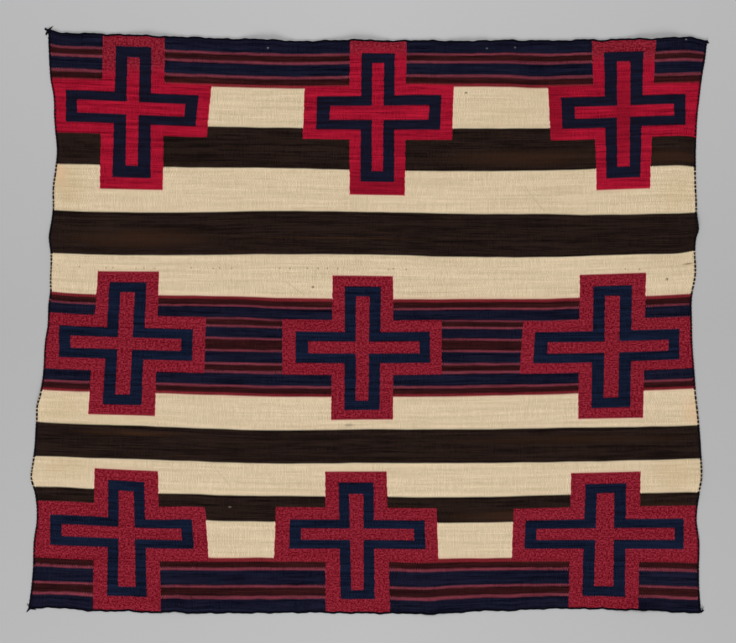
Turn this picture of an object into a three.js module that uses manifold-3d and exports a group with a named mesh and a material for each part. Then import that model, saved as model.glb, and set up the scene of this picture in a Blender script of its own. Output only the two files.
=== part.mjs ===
// Hand-woven wool chief blanket, spread flat on a floor with its face up.
// Millimetres. +X runs along the wefts to the right, +Y along the warps to the top edge, +Z up.
// The cloth is drawn first as it stood in the loom, a straight rectangle with two coordinates:
// across, from the middle towards the right selvage, and down, from the top end cord.
// Three tables then pull that rectangle into the uneven shape in which the old cloth lies.

import * as THREE from 'three';
import { mergeVertices } from 'three/addons/utils/BufferGeometryUtils.js';
import Module from 'manifold-3d';

const wasm = await Module();
wasm.setup();

// Driving dimensions
const WIDTH = 1696;             // over both selvage cords, before the cloth was pulled out of true
const HEIGHT = 1481;            // over both end cords
const CLOTH_THICK = 2;          // weft-faced plain weave
const CORD_DIAMETER = 3.6;      // plied yarn cord twined along each of the four edges
const GAP = 0.45;               // clear space between neighbouring pieces
const KNOT_RADIUS = 4;          // knot that ties two cords together at a corner
const KNOT_HEIGHT = 5;
const KNOT_SETBACK = 4.75;      // from the corner of the cloth to the knot's middle, along each edge
const STRAND_ROOT = 2.6;        // thickness of a loose cord end at the knot
const STRAND_TIP = 1.5;         // and at its cut end

// Mesh steps
const COLUMNS = 36;
const ROWS = 48;
const CORD_SIDES = 8;
const KNOT_SIDES = 10;
const KNOT_RINGS = 6;
const STRAND_STEPS = 3;

const INSET = CORD_DIAMETER + GAP;      // from the outer line of the cords to the edge of the cloth
const CORD_RADIUS = CORD_DIAMETER / 2;
const CORD_APOTHEM = CORD_RADIUS * Math.cos(Math.PI / CORD_SIDES);

// How the wefts bow. Columns: down, the line's distance below the top edge as woven, and rise,
// how far the line is pushed up at each of the nine places in RISE_AT, left selvage first.
const RISE_AT = [0, 0.06, 0.2, 0.35, 0.5, 0.65, 0.8, 0.97, 1];
const WEFT_LINES = [
  { down: 0, rise: [23, 17, 7, -1, -1, -4, -1, 7, -4] },
  { down: 98, rise: [21, 17, 6, -2, 0, 3, 1, 8, 9] },
  { down: 336, rise: [13, 11, 4, 2, -4, -6, -3, 9, 5] },
  { down: 448, rise: [6, 2, 0, 4, 1, -4, -7, -2, 0] },
  { down: 559, rise: [6, 1, 0, 2, 1, -5, -4, 7, 14] },
  { down: 691, rise: [17, 10, 6, -1, -5, -4, -1, 6, 8] },
  { down: 792, rise: [16, 12, 5, -1, -3, -1, -3, 4, 8] },
  { down: 918, rise: [16, 10, 5, 0, -1, 1, 7, 19, 21] },
  { down: 1008, rise: [19, 13, 5, -3, 0, 0, 4, 8, 10] },
  { down: 1096, rise: [19, 15, 7, -1, 0, 0, 3, 10, 12] },
  { down: 1181, rise: [25, 22, 6, 1, -1, -3, 4, 10, 11] },
  { down: 1369, rise: [10, 4, 0, -1, -1, -1, 0, -4, -6] },
  { down: 1481, rise: [9, 4, -3, -2, -4, -1, 8, -2, -3] },
];

// How the two selvages wander. Columns: level, the distance below the straight top line, then how
// far the left and the right selvage lie to the right of their straight lines there.
const SELVAGES = [
  { level: 0, left: 13, right: 21 },
  { level: 50, left: 15, right: 12 },
  { level: 100, left: 18, right: 6 },
  { level: 145, left: 24, right: 1 },
  { level: 200, left: 25, right: -5 },
  { level: 285, left: 35, right: -9 },
  { level: 340, left: 30, right: -9 },
  { level: 385, left: 24, right: -8 },
  { level: 445, left: 24, right: -4 },
  { level: 490, left: 18, right: -1 },
  { level: 515, left: 15, right: -10 },
  { level: 552, left: 19, right: -13 },
  { level: 610, left: 17, right: -12 },
  { level: 670, left: 13, right: -20 },
  { level: 740, left: 11, right: -19 },
  { level: 785, left: 4, right: -18 },
  { level: 870, left: -1, right: -12 },
  { level: 920, left: -9, right: -8 },
  { level: 946, left: -17, right: -5 },
  { level: 985, left: -19, right: -1 },
  { level: 1055, left: -23, right: 4 },
  { level: 1130, left: -31, right: 7 },
  { level: 1170, left: -21, right: 1 },
  { level: 1240, left: -17, right: -7 },
  { level: 1300, left: -25, right: 0 },
  { level: 1370, left: -27, right: -1 },
  { level: 1425, left: -32, right: 0 },
  { level: 1481, left: -40, right: 4 },
];

// Where the cloth stands off the floor: shallow buckles, high in the middle and gone at their rim.
// Columns: across and down, the middle; long and wide, the half sizes; turn, degrees from the
// wefts to the long way; height.
const BUCKLES = [
  { across: -590, down: 0, long: 85, wide: 45, turn: 0, height: 4 },
  { across: -285, down: 0, long: 80, wide: 50, turn: 0, height: 7 },
  { across: -50, down: 0, long: 95, wide: 50, turn: 0, height: 6 },
  { across: 240, down: 0, long: 80, wide: 40, turn: 0, height: 3 },
  { across: 720, down: 0, long: 100, wide: 55, turn: 0, height: 8 },
  { across: -480, down: 1481, long: 105, wide: 45, turn: 0, height: 4 },
  { across: 180, down: 1481, long: 85, wide: 45, turn: 0, height: 4 },
  { across: 690, down: 1481, long: 95, wide: 50, turn: 0, height: 6 },
  { across: -848, down: 520, long: 75, wide: 50, turn: 90, height: 5 },
  { across: -848, down: 935, long: 70, wide: 50, turn: 90, height: 6 },
  { across: 848, down: 500, long: 75, wide: 50, turn: 90, height: 6 },
  { across: 848, down: 1150, long: 75, wide: 50, turn: 90, height: 5 },
  { across: -330, down: 290, long: 190, wide: 75, turn: 20, height: 3 },
  { across: 320, down: 590, long: 200, wide: 70, turn: -15, height: 3 },
  { across: -450, down: 1130, long: 190, wide: 75, turn: 10, height: 2.5 },
  { across: 420, down: 1010, long: 180, wide: 75, turn: 30, height: 3 },
];

// Loose cord ends that lie on the floor at the corners. Columns: turn, the direction in degrees
// from +X; reach, from the knot's middle to the cut end; bend, how far that end swings left.
const TASSELS = [
  {
    name: 'tassel_top_left', sideX: -1, sideY: 1,
    strands: [
      { turn: 162, reach: 12, bend: 1 },
      { turn: 62, reach: 15, bend: -1 },
      { turn: 224, reach: 12, bend: 1 },
    ],
  },
  {
    name: 'tassel_top_right', sideX: 1, sideY: 1,
    strands: [
      { turn: 5, reach: 10, bend: -1 },
      { turn: 72, reach: 7, bend: 0 },
    ],
  },
  {
    name: 'tassel_bottom_left', sideX: -1, sideY: -1,
    strands: [
      { turn: 233, reach: 17, bend: 1 },
      { turn: 322, reach: 14, bend: 2 },
    ],
  },
  {
    name: 'tassel_bottom_right', sideX: 1, sideY: -1,
    strands: [
      { turn: 323, reach: 13, bend: 1 },
      { turn: 28, reach: 11, bend: 1 },
      { turn: 258, reach: 8, bend: 0 },
    ],
  },
];

const WOOL = { color: 0xb8a488, roughness: 0.95, metalness: 0 };
const INDIGO_CORD = { color: 0x0c1220, roughness: 0.9, metalness: 0 };

// A smooth curve through a table's values: places must rise, and it stays level past both ends.
function curveAt(places, values, place) {
  const last = places.length - 1;
  if (place <= places[0]) return values[0];
  if (place >= places[last]) return values[last];
  const i = places.findIndex((p) => p > place) - 1;
  const slope = (k) => {
    const a = Math.max(k - 1, 0);
    const b = Math.min(k + 1, last);
    return (values[b] - values[a]) / (places[b] - places[a]);
  };
  const span = places[i + 1] - places[i];
  const t = (place - places[i]) / span;
  const start = (1 + 2 * t) * (1 - t) ** 2 * values[i] + t * (1 - t) ** 2 * span * slope(i);
  const end = t * t * (3 - 2 * t) * values[i + 1] + t * t * (t - 1) * span * slope(i + 1);
  return start + end;
}

const LINE_DOWNS = WEFT_LINES.map((line) => line.down);
const SELVAGE_LEVELS = SELVAGES.map((row) => row.level);
const SELVAGE_LEFTS = SELVAGES.map((row) => row.left);
const SELVAGE_RIGHTS = SELVAGES.map((row) => row.right);

// How far a buckle raises the point, from its height in the middle to nothing at its rim.
function buckleAt(buckle, across, down) {
  const angle = THREE.MathUtils.degToRad(buckle.turn);
  const dx = across - buckle.across;
  const dy = buckle.down - down;
  const along = (dx * Math.cos(angle) + dy * Math.sin(angle)) / buckle.long;
  const beside = (dy * Math.cos(angle) - dx * Math.sin(angle)) / buckle.wide;
  const inside = Math.max(0, 1 - along * along - beside * beside);
  return buckle.height * inside * inside;
}

// The place on the floor, and the height of the underside, of a point given as it was woven.
function place(across, down) {
  const part = across / WIDTH + 0.5;
  const rises = WEFT_LINES.map((line) => curveAt(RISE_AT, line.rise, part));
  const y = HEIGHT / 2 - down + curveAt(LINE_DOWNS, rises, down);
  const level = HEIGHT / 2 - y;
  const left = curveAt(SELVAGE_LEVELS, SELVAGE_LEFTS, level);
  const right = curveAt(SELVAGE_LEVELS, SELVAGE_RIGHTS, level);
  const x = across + left + (right - left) * part;
  const z = BUCKLES.reduce((sum, buckle) => sum + buckleAt(buckle, across, down), 0);
  return new THREE.Vector3(x, y, z);
}

// The step places along the cloth's edges, which the cords share, so that they lie side by side.
const acrossAt = (column) => (column / COLUMNS - 0.5) * (WIDTH - 2 * INSET);
const downAt = (row) => INSET + (1 - row / ROWS) * (HEIGHT - 2 * INSET);

// Moves each vertex of a geometry to the place that the function gives for it.
function reshape(geometry, move) {
  const position = geometry.attributes.position;
  for (let i = 0; i < position.count; i += 1) {
    const moved = move(new THREE.Vector3().fromBufferAttribute(position, i));
    position.setXYZ(i, moved.x, moved.y, moved.z);
  }
  geometry.computeVertexNormals();
  return geometry;
}

// The cloth: a thin slab of unit size, its grid laid out as woven and then pulled into shape.
function clothGeometry() {
  const slab = new THREE.BoxGeometry(1, 1, 1, COLUMNS, ROWS, 1);
  return reshape(slab, (v) => {
    const across = acrossAt((v.x + 0.5) * COLUMNS);
    const down = downAt((v.y + 0.5) * ROWS);
    const point = place(across, down);
    point.z += (v.z + 0.5) * CLOTH_THICK;
    return point;
  });
}

// An edge cord: a straight eight-sided bar bent along its axis points, with a flat side down.
function cordGeometry(points) {
  const steps = points.length - 1;
  const flatDown = Math.PI / CORD_SIDES;
  const bar = new THREE.CylinderGeometry(
    CORD_RADIUS, CORD_RADIUS, 1, CORD_SIDES, steps, false, flatDown);
  return reshape(bar, (v) => {
    const i = Math.round((v.y + 0.5) * steps);
    const ahead = points[Math.min(i + 1, steps)].clone().sub(points[Math.max(i - 1, 0)]);
    const heading = Math.atan2(ahead.y, ahead.x);
    const beside = new THREE.Vector3(Math.sin(heading), -Math.cos(heading), 0);
    const point = points[i].clone().addScaledVector(beside, v.x);
    point.z += CORD_APOTHEM + v.z;
    return point;
  });
}

// The axis points of a selvage cord, bottom to top, and of an end cord, left to right.
function selvagePoints(side) {
  const across = side * (WIDTH / 2 - CORD_RADIUS);
  return Array.from({ length: ROWS + 1 }, (_, row) => place(across, downAt(row)));
}

function endPoints(down) {
  return Array.from({ length: COLUMNS + 1 }, (_, column) => place(acrossAt(column), down));
}

// A closed geometry as a solid that can be joined to another.
function solidOf(geometry) {
  const bare = geometry.clone();
  bare.deleteAttribute('normal');
  bare.deleteAttribute('uv');
  const merged = mergeVertices(bare);
  return new wasm.Manifold(new wasm.Mesh({
    numProp: 3,
    vertProperties: merged.attributes.position.array,
    triVerts: new Uint32Array(merged.index.array),
  }));
}

function geometryOf(solid) {
  const mesh = solid.getMesh();
  const geometry = new THREE.BufferGeometry();
  geometry.setAttribute('position', new THREE.BufferAttribute(mesh.vertProperties, 3));
  geometry.setIndex(new THREE.BufferAttribute(mesh.triVerts, 1));
  geometry.computeVertexNormals();
  return geometry;
}

// The knot: a squat ball whose lowest ring and foot lie flat on the floor.
function knotGeometry() {
  const footRing = Math.cos(Math.PI / KNOT_RINGS);
  const ball = new THREE.SphereGeometry(1, KNOT_SIDES, KNOT_RINGS).rotateX(Math.PI / 2);
  return reshape(ball, (v) => new THREE.Vector3(
    v.x * KNOT_RADIUS,
    v.y * KNOT_RADIUS,
    Math.max(0, (v.z + footRing) / (1 + footRing) * KNOT_HEIGHT),
  ));
}

// A loose cord end: a four-sided bar that leaves the knot, thins and swings a little to one side.
function strandGeometry(strand) {
  const bar = new THREE.BoxGeometry(1, 1, 1, STRAND_STEPS, 1, 1);
  const lying = reshape(bar, (v) => {
    const t = v.x + 0.5;
    const thick = STRAND_ROOT + (STRAND_TIP - STRAND_ROOT) * t;
    return new THREE.Vector3(strand.reach * t, strand.bend * t * t + v.y * thick, (v.z + 0.5) * thick);
  });
  return lying.rotateZ(THREE.MathUtils.degToRad(strand.turn));
}

// A corner tassel: the knot with its loose ends, set just outside the corner of the cloth.
function tasselGeometry(tassel) {
  const joined = tassel.strands.reduce(
    (solid, strand) => solid.add(solidOf(strandGeometry(strand))),
    solidOf(knotGeometry()));
  const corner = place(
    tassel.sideX * (WIDTH / 2 - INSET),
    HEIGHT / 2 - tassel.sideY * (HEIGHT / 2 - INSET));
  return geometryOf(joined).translate(
    corner.x + tassel.sideX * KNOT_SETBACK,
    corner.y + tassel.sideY * KNOT_SETBACK,
    0);
}

function piece(name, geometry, finish) {
  const mesh = new THREE.Mesh(geometry, new THREE.MeshStandardMaterial(finish));
  mesh.name = name;
  return mesh;
}

const blanket = new THREE.Group();
blanket.add(piece('blanket_cloth', clothGeometry(), WOOL));
blanket.add(piece('cord_left', cordGeometry(selvagePoints(-1)), INDIGO_CORD));
blanket.add(piece('cord_right', cordGeometry(selvagePoints(1)), INDIGO_CORD));
blanket.add(piece('cord_top', cordGeometry(endPoints(CORD_RADIUS)), INDIGO_CORD));
blanket.add(piece('cord_bottom', cordGeometry(endPoints(HEIGHT - CORD_RADIUS)), INDIGO_CORD));
for (const tassel of TASSELS) {
  blanket.add(piece(tassel.name, tasselGeometry(tassel), INDIGO_CORD));
}

// The origin is on the floor under the middle of the blanket's box.
const middle = new THREE.Box3().setFromObject(blanket).getCenter(new THREE.Vector3());
blanket.position.set(-middle.x, -middle.y, 0);

export default blanket;
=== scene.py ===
"""The looks of a hand-woven wool chief blanket that lies flat on a pale floor, face up.

Lengths in the tables are millimetres. The cloth is laid out as it stood in the loom, with two
coordinates: across, from the middle towards the right selvage, and down, from the top end cord.
The same three tables as in the part's source pull that rectangle into the shape in which it lies.
Stripes are charted by how far down they are, so they bow with the wefts. Crosses are charted by that
and by plan, their distance to the right of the middle line as the cloth lies, so they stay upright.
"""

import math
from collections import namedtuple

import bpy
import numpy as np
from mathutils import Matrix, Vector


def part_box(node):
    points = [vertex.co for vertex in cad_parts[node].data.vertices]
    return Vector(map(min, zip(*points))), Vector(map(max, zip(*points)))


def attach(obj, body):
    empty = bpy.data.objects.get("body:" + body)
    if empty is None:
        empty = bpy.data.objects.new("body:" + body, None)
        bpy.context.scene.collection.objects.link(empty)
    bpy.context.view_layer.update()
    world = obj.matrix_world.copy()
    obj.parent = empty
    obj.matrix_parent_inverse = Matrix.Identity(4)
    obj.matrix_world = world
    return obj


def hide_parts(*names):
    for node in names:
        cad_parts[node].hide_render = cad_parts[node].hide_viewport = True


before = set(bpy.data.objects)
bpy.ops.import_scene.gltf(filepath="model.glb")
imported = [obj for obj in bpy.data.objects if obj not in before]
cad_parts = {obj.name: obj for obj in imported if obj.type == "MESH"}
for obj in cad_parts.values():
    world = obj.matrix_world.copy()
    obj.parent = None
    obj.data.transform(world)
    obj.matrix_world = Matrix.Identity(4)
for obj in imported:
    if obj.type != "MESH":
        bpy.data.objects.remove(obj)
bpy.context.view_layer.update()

MM = 0.001


def table(row, values):
    """A table's rows, each with its columns named as in row."""
    return [row(*columns) for columns in values]


# Driving dimensions, as in the part
WIDTH = 1696
HEIGHT = 1481
CLOTH_THICK = 2
CORD_DIAMETER = 3.6
CORD_RADIUS = CORD_DIAMETER / 2
GAP = 0.45
INSET = CORD_DIAMETER + GAP
KNOT_RADIUS = 4
KNOT_HEIGHT = 5
KNOT_SETBACK = 4.75

# The part's own grid steps, from which its place in the frame is found
PART_COLUMNS = 36
PART_ROWS = 48

# The cloth as it is shown
COLUMNS = 226
ROWS = 196
EDGE_INSET = 3.5  # the cloth's edge nestles against the cords
EDGE_ROUNDING = 1.1  # width of its rounded rim
RIM_DROP = 0.5  # and how far the rim falls away above and below

# The weave
RIB_PITCH = 3.2  # from one warp rib to the next
PICK_PITCH = 0.9  # from one weft to the next
BEAD_HEIGHT = 2.4  # wefts that look alike where they cross a rib
BEAD_SWELL = 0.55  # share of a bead's height that is lost between two wefts
CROWN_BREADTH = 0.6  # power that broadens the ribs' crowns
FUZZ_HEIGHT = 0.5  # height of the loose fibres, in beads
BUMP_DEPTH = 0.35  # a bead's height
STRIPE_TICK = 2.2  # how far a stripe's edge steps from rib to rib
EDGE_WAVE = 1.5  # and how far it wanders, from crest to hollow
CROSS_TICK = 2  # how far a cross's level joints step from rib to rib
TOOTH_HEIGHT = 5.4  # wefts that turn together at an upright joint
TOOTH_DEPTH = 0.9
TOOTH_COLUMN = 60  # teeth are alike over this width

# Edge cords: the length of one turn, the plies, their radius, and how far from the cord's axis they
# wind, sideways and upward
Winding = namedtuple("Winding", "pitch plies radius sideways upward")
END_CORD = Winding(13, 3, 1.2, 1.5, 0.6)
SIDE_CORD = Winding(18, 2, 1.55, 1.45, 0.25)
PLY_STEPS = 10  # steps in one turn
PLY_SIDES = 6

# Loops of weft over the side cords, each of a few threads side by side
LOOP_PITCH = 10.8
LOOP_UNEVENNESS = 1.8  # how far a loop may be from its even place
LOOP_THREADS = 2
THREAD_PITCH = 1.25
LOOP_RADIUS = 0.72
LOOP_REACH = 2.8  # from the cord's axis to a thread's middle, sideways
LOOP_RISE = 1.75  # and upward
LOOP_END = -0.2  # where a thread stops, in half turns below the cord's outer side
LOOP_STEPS = 7
LOOP_SIDES = 5

# Corner tassels, of threads and stray wisps. Columns: the radius; the shortest and the longest reach,
# in reaches of the strand; how far they swing aside; how widely they lie, in widths of the strand.
Fibre = namedtuple("Fibre", "radius shortest longest swing spread")
THREAD = Fibre(0.85, 0.78, 1.02, 0.5, 1)
WISP = Fibre(0.16, 1, 1.3, 1.4, 1.4)
WISPS = 8
THREAD_STEPS = 9
THREAD_TAPER = 0.45  # share of the radius that is lost to the cut end
ROOT_HEIGHT = 0.45  # where threads leave the knot, in heights of the knot
FALL = 1.5  # power of the curve in which they come down from there
SWING_TURNS = 0.8  # how often they swing
BOB = 0.5  # how far they differ in height, as a share of it
BOB_SPREAD = 40  # sets those differences apart
KNOT_SEED = 7
KNOT_YARN_RADIUS = 1.2
KNOT_STEPS = 60

# How the wefts bow. Columns: down, the line's distance below the top edge as woven, and rise,
# how far the line is pushed up at each of the nine places in RISE_AT, left selvage first.
RISE_AT = [0, 0.06, 0.2, 0.35, 0.5, 0.65, 0.8, 0.97, 1]
WeftLine = namedtuple("WeftLine", "down rise")
WEFT_LINES = table(WeftLine, [
    (0, [23, 17, 7, -1, -1, -4, -1, 7, -4]),
    (98, [21, 17, 6, -2, 0, 3, 1, 8, 9]),
    (336, [13, 11, 4, 2, -4, -6, -3, 9, 5]),
    (448, [6, 2, 0, 4, 1, -4, -7, -2, 0]),
    (559, [6, 1, 0, 2, 1, -5, -4, 7, 14]),
    (691, [17, 10, 6, -1, -5, -4, -1, 6, 8]),
    (792, [16, 12, 5, -1, -3, -1, -3, 4, 8]),
    (918, [16, 10, 5, 0, -1, 1, 7, 19, 21]),
    (1008, [19, 13, 5, -3, 0, 0, 4, 8, 10]),
    (1096, [19, 15, 7, -1, 0, 0, 3, 10, 12]),
    (1181, [25, 22, 6, 1, -1, -3, 4, 10, 11]),
    (1369, [10, 4, 0, -1, -1, -1, 0, -4, -6]),
    (1481, [9, 4, -3, -2, -4, -1, 8, -2, -3]),
])

# How the two selvages wander. Columns: level, the distance below the straight top line, then how
# far the left and the right selvage lie to the right of their straight lines there.
Wander = namedtuple("Wander", "level left right")
SELVAGES = table(Wander, [
    (0, 13, 21), (50, 15, 12), (100, 18, 6), (145, 24, 1), (200, 25, -5), (285, 35, -9),
    (340, 30, -9), (385, 24, -8), (445, 24, -4), (490, 18, -1), (515, 15, -10), (552, 19, -13),
    (610, 17, -12), (670, 13, -20), (740, 11, -19), (785, 4, -18), (870, -1, -12), (920, -9, -8),
    (946, -17, -5), (985, -19, -1), (1055, -23, 4), (1130, -31, 7), (1170, -21, 1), (1240, -17, -7),
    (1300, -25, 0), (1370, -27, -1), (1425, -32, 0), (1481, -40, 4),
])

# Where the cloth stands off the floor. Columns: the middle, the half sizes, the turn in degrees
# from the wefts to the long way, and the height.
Buckle = namedtuple("Buckle", "across down long wide turn height")
BUCKLES = table(Buckle, [
    (-590, 0, 85, 45, 0, 4),
    (-285, 0, 80, 50, 0, 7),
    (-50, 0, 95, 50, 0, 6),
    (240, 0, 80, 40, 0, 3),
    (720, 0, 100, 55, 0, 8),
    (-480, 1481, 105, 45, 0, 4),
    (180, 1481, 85, 45, 0, 4),
    (690, 1481, 95, 50, 0, 6),
    (-848, 520, 75, 50, 90, 5),
    (-848, 935, 70, 50, 90, 6),
    (848, 500, 75, 50, 90, 6),
    (848, 1150, 75, 50, 90, 5),
    (-330, 290, 190, 75, 20, 3),
    (320, 590, 200, 70, -15, 3),
    (-450, 1130, 190, 75, 10, 2.5),
    (420, 1010, 180, 75, 30, 3),
])

# The small unevenness of old handspun cloth: long low ripples that cross each other.
# Columns: length of a wave, the way it runs in degrees from the wefts, height and phase in turns.
Ripple = namedtuple("Ripple", "length turn height phase")
RIPPLES = table(Ripple, [
    (410, 62, 0.12, 0.15),
    (265, -38, 0.11, 0.62),
    (170, 15, 0.09, 0.31),
    (118, 81, 0.08, 0.84),
    (74, -12, 0.05, 0.47),
    (52, 44, 0.04, 0.05),
])

# Scallops of the two end edges, where the end cord pulls. Columns: length of a wave, height, phase.
Scallop = namedtuple("Scallop", "length height phase")
SCALLOPS = table(Scallop, [
    (151, 0.7, 0.4),
    (67, 0.8, 0.2),
    (41, 0.6, 0.7),
    (23, 0.45, 0.1),
])
SCALLOP_REACH = 40  # how far down into the cloth they are felt

# Single dents and bulges of each edge. Columns: at, where along it, across or down; long, the half
# length; push, how far outward, less than zero for a dent.
Bulge = namedtuple("Bulge", "at long push")
BULGES = {
    "top": table(Bulge, [(-845, 18, 4), (-800, 36, -4.4), (-188, 45, -3.8), (5, 25, -2.6),
        (335, 35, 3.4), (471, 20, -1.8), (518, 18, 2), (587, 25, -3.4), (716, 45, -5)]),
    "bottom": table(Bulge, [(-765, 60, -5), (-588, 45, -2.6), (-487, 20, -4), (-317, 40, 1.8),
        (-110, 25, -3), (153, 38, 3.6), (306, 22, -3.4), (496, 20, -2.4), (708, 80, -2.8)]),
    "left": table(Bulge, [(200, 50, -3.4), (670, 25, -3.4), (1170, 35, 3)]),
    "right": table(Bulge, [(58, 40, 3), (465, 35, -3), (600, 65, 3.6)]),
}
BULGE_REACH = 45  # how far into the cloth they are felt
OUTWARD = {"top": (0, 1), "bottom": (0, -1), "left": (-1, 0), "right": (1, 0)}

# Where the stripes sag, as the wefts were beaten down unevenly. Columns: the middle, the half sizes,
# and how far the stripes lie below their even place there, less than zero for above.
Sag = namedtuple("Sag", "plan down long wide drop")
SAGS = table(Sag, [
    (435, 95, 60, 45, 3.5),
    (110, 110, 55, 40, -3.5),
    (430, 450, 90, 40, -3),
    (790, 553, 70, 40, 4),
    (-340, 705, 70, 35, -3.5),
    (440, 705, 80, 45, 3),
    (-640, 925, 260, 85, -3.5),
    (-470, 1225, 60, 40, -5),
    (-750, 1415, 120, 40, -4),
    (125, 1400, 75, 60, 6),
])

# Loose cord ends at the corners. Columns of a strand: turn, the direction in degrees from +X; reach,
# from the knot's middle to the cut end; bend, how far that end swings left; root and tip, how far
# its threads lie to its left and right at the knot and at the cut end; threads, their number.
# slip is how far to the right and up the knot lies from the middle of the part's plain knot.
Strand = namedtuple("Strand", "turn reach bend root tip threads")
Tassel = namedtuple("Tassel", "name side_x side_y slip strands")
TASSELS = [
    Tassel("tassel_top_left", -1, 1, (0, 0), [
        Strand(152, 11, 0, 2.4, 2.6, 16),
        Strand(47, 15, -1, 2.6, 0.6, 12),
        Strand(236, 13, 1, 2.4, 2.4, 16),
    ]),
    Tassel("tassel_top_right", 1, 1, (-1, -3), [
        Strand(318, 7, 0, 2.2, 1.8, 10),
        Strand(190, 7, 0, 2.0, 1.5, 6),
    ]),
    Tassel("tassel_bottom_left", -1, -1, (4, 3), [
        Strand(228, 15, 1, 3.0, 0.7, 15),
        Strand(338, 15, 1, 2.8, 1.4, 15),
        Strand(124, 13, 1, 1.5, 3.0, 2),
    ]),
    Tassel("tassel_bottom_right", 1, -1, (0, 5), [
        Strand(16, 9, 1, 2.2, 0.9, 11),
        Strand(66, 15, 1, 1.5, 3.0, 1),
    ]),
]

# The stripes from the top edge to the bottom edge. Columns: the yarn and where its stripe ends.
Stripe = namedtuple("Stripe", "yarn end")
STRIPES = table(Stripe, [
    ("indigo", 35), ("rose", 41), ("thin_brown", 56), ("rose", 63), ("indigo", 94), ("rose", 101),
    ("thin_brown", 117), ("red", 125), ("ivory", 228), ("brown", 335), ("ivory", 447),
    ("brown", 558), ("ivory", 667), ("red", 675), ("thin_brown", 690), ("rose", 695),
    ("indigo", 723), ("rose", 727), ("thin_brown", 741), ("rose", 746), ("indigo", 772),
    ("rose", 777), ("thin_brown", 803), ("rose", 808), ("indigo", 837), ("rose", 843),
    ("thin_brown", 858), ("rose", 865), ("indigo", 896), ("rose", 902), ("thin_brown", 917),
    ("red", 924), ("ivory", 1008), ("brown", 1096), ("ivory", 1181), ("brown", 1248),
    ("ivory", 1340), ("red", 1350), ("thin_brown", 1365), ("rose", 1372), ("indigo", 1410),
    ("rose", 1416), ("thin_brown", 1437), ("rose", 1445), ("indigo", 1481),
])
YARN_NUMBER = {"indigo": 0, "brown": 1, "thin_brown": 2, "ivory": 3, "rose": 4, "red": 5}

# The nine crosses. Each is an upright and an arm, and each of those three nested rings: red, indigo
# and a red core. An upright has its middle line at top and bottom, each ring's width there, and
# where each ring starts and ends. An arm has its red's ends at its top and bottom edge, how far each
# ring stops short of them at the left and at the right, less than zero where the red runs on over
# the selvage, the height of its ring and core, and where the red starts and ends.
Upright = namedtuple("Upright", "middle_top middle_bottom widths_top widths_bottom starts ends")
Arm = namedtuple(
    "Arm", "left_top left_bottom right_top right_bottom stops_left stops_right ring core start end"
)
UPRIGHTS = table(Upright, [
    (-614, -621, (160, 91, 32), (163, 100, 31), (-4, 30, 58), (392, 364, 334)),
    (18, 15, (147, 86, 31), (143, 88, 28), (-4, 34, 61), (401, 365, 336)),
    (653, 652, (165, 104, 35), (138, 87, 31), (-4, 34, 60), (387, 360, 332)),
    (-628, -646, (158, 96, 37), (173, 101, 38), (602, 632, 660), (982, 956, 929)),
    (-22, -24, (157, 94, 36), (160, 91, 32), (610, 636, 661), (983, 958, 933)),
    (625, 619, (171, 100, 38), (168, 101, 38), (607, 638, 665), (987, 962, 937)),
    (-634, -632, (164, 92, 37), (176, 104, 47), (1124, 1154, 1181), (1477, 1442, 1417)),
    (-40, -35, (159, 91, 38), (167, 88, 31), (1117, 1145, 1175), (1477, 1445, 1422)),
    (607, 600, (180, 105, 44), (180, 112, 51), (1125, 1155, 1180), (1477, 1444, 1415)),
])
ARMS = table(Arm, [
    (-824, -824, -413, -426, (-200, 34, 63), (0, 31, 63), 81, 32, 121, 256),
    (-172, -178, 213, 209, (0, 33, 68), (0, 31, 62), 86, 35, 120, 256),
    (457, 464, 848, 848, (0, 32, 66), (-200, 35, 65), 81, 30, 121, 259),
    (-842, -842, -428, -432, (-200, 34, 64), (0, 32, 62), 82, 31, 723, 867),
    (-230, -230, 182, 182, (0, 34, 67), (0, 30, 57), 83, 31, 722, 866),
    (393, 383, 831, 831, (0, 33, 68), (-200, 34, 62), 85, 30, 724, 866),
    (-865, -865, -430, -420, (-200, 34, 64), (0, 36, 66), 71, 27, 1216, 1350),
    (-247, -252, 169, 174, (0, 38, 68), (0, 32, 61), 75, 29, 1210, 1348),
    (368, 363, 844, 844, (0, 32, 61), (-200, 36, 60), 73, 28, 1214, 1348),
])
OUTSIDE = (-9999, -9999, -9999)

# The mottled red of the top crosses' first rows: how deep it goes on the middle line, how much
# deeper for each millimetre away from it and to the right of it, and over what depth it thins out.
MOTTLED_DEPTH = 27
MOTTLED_SLOPE = 0.065
MOTTLED_TILT = -0.03
MOTTLED_FADE = 55
CRIMSON_END = 450

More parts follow.
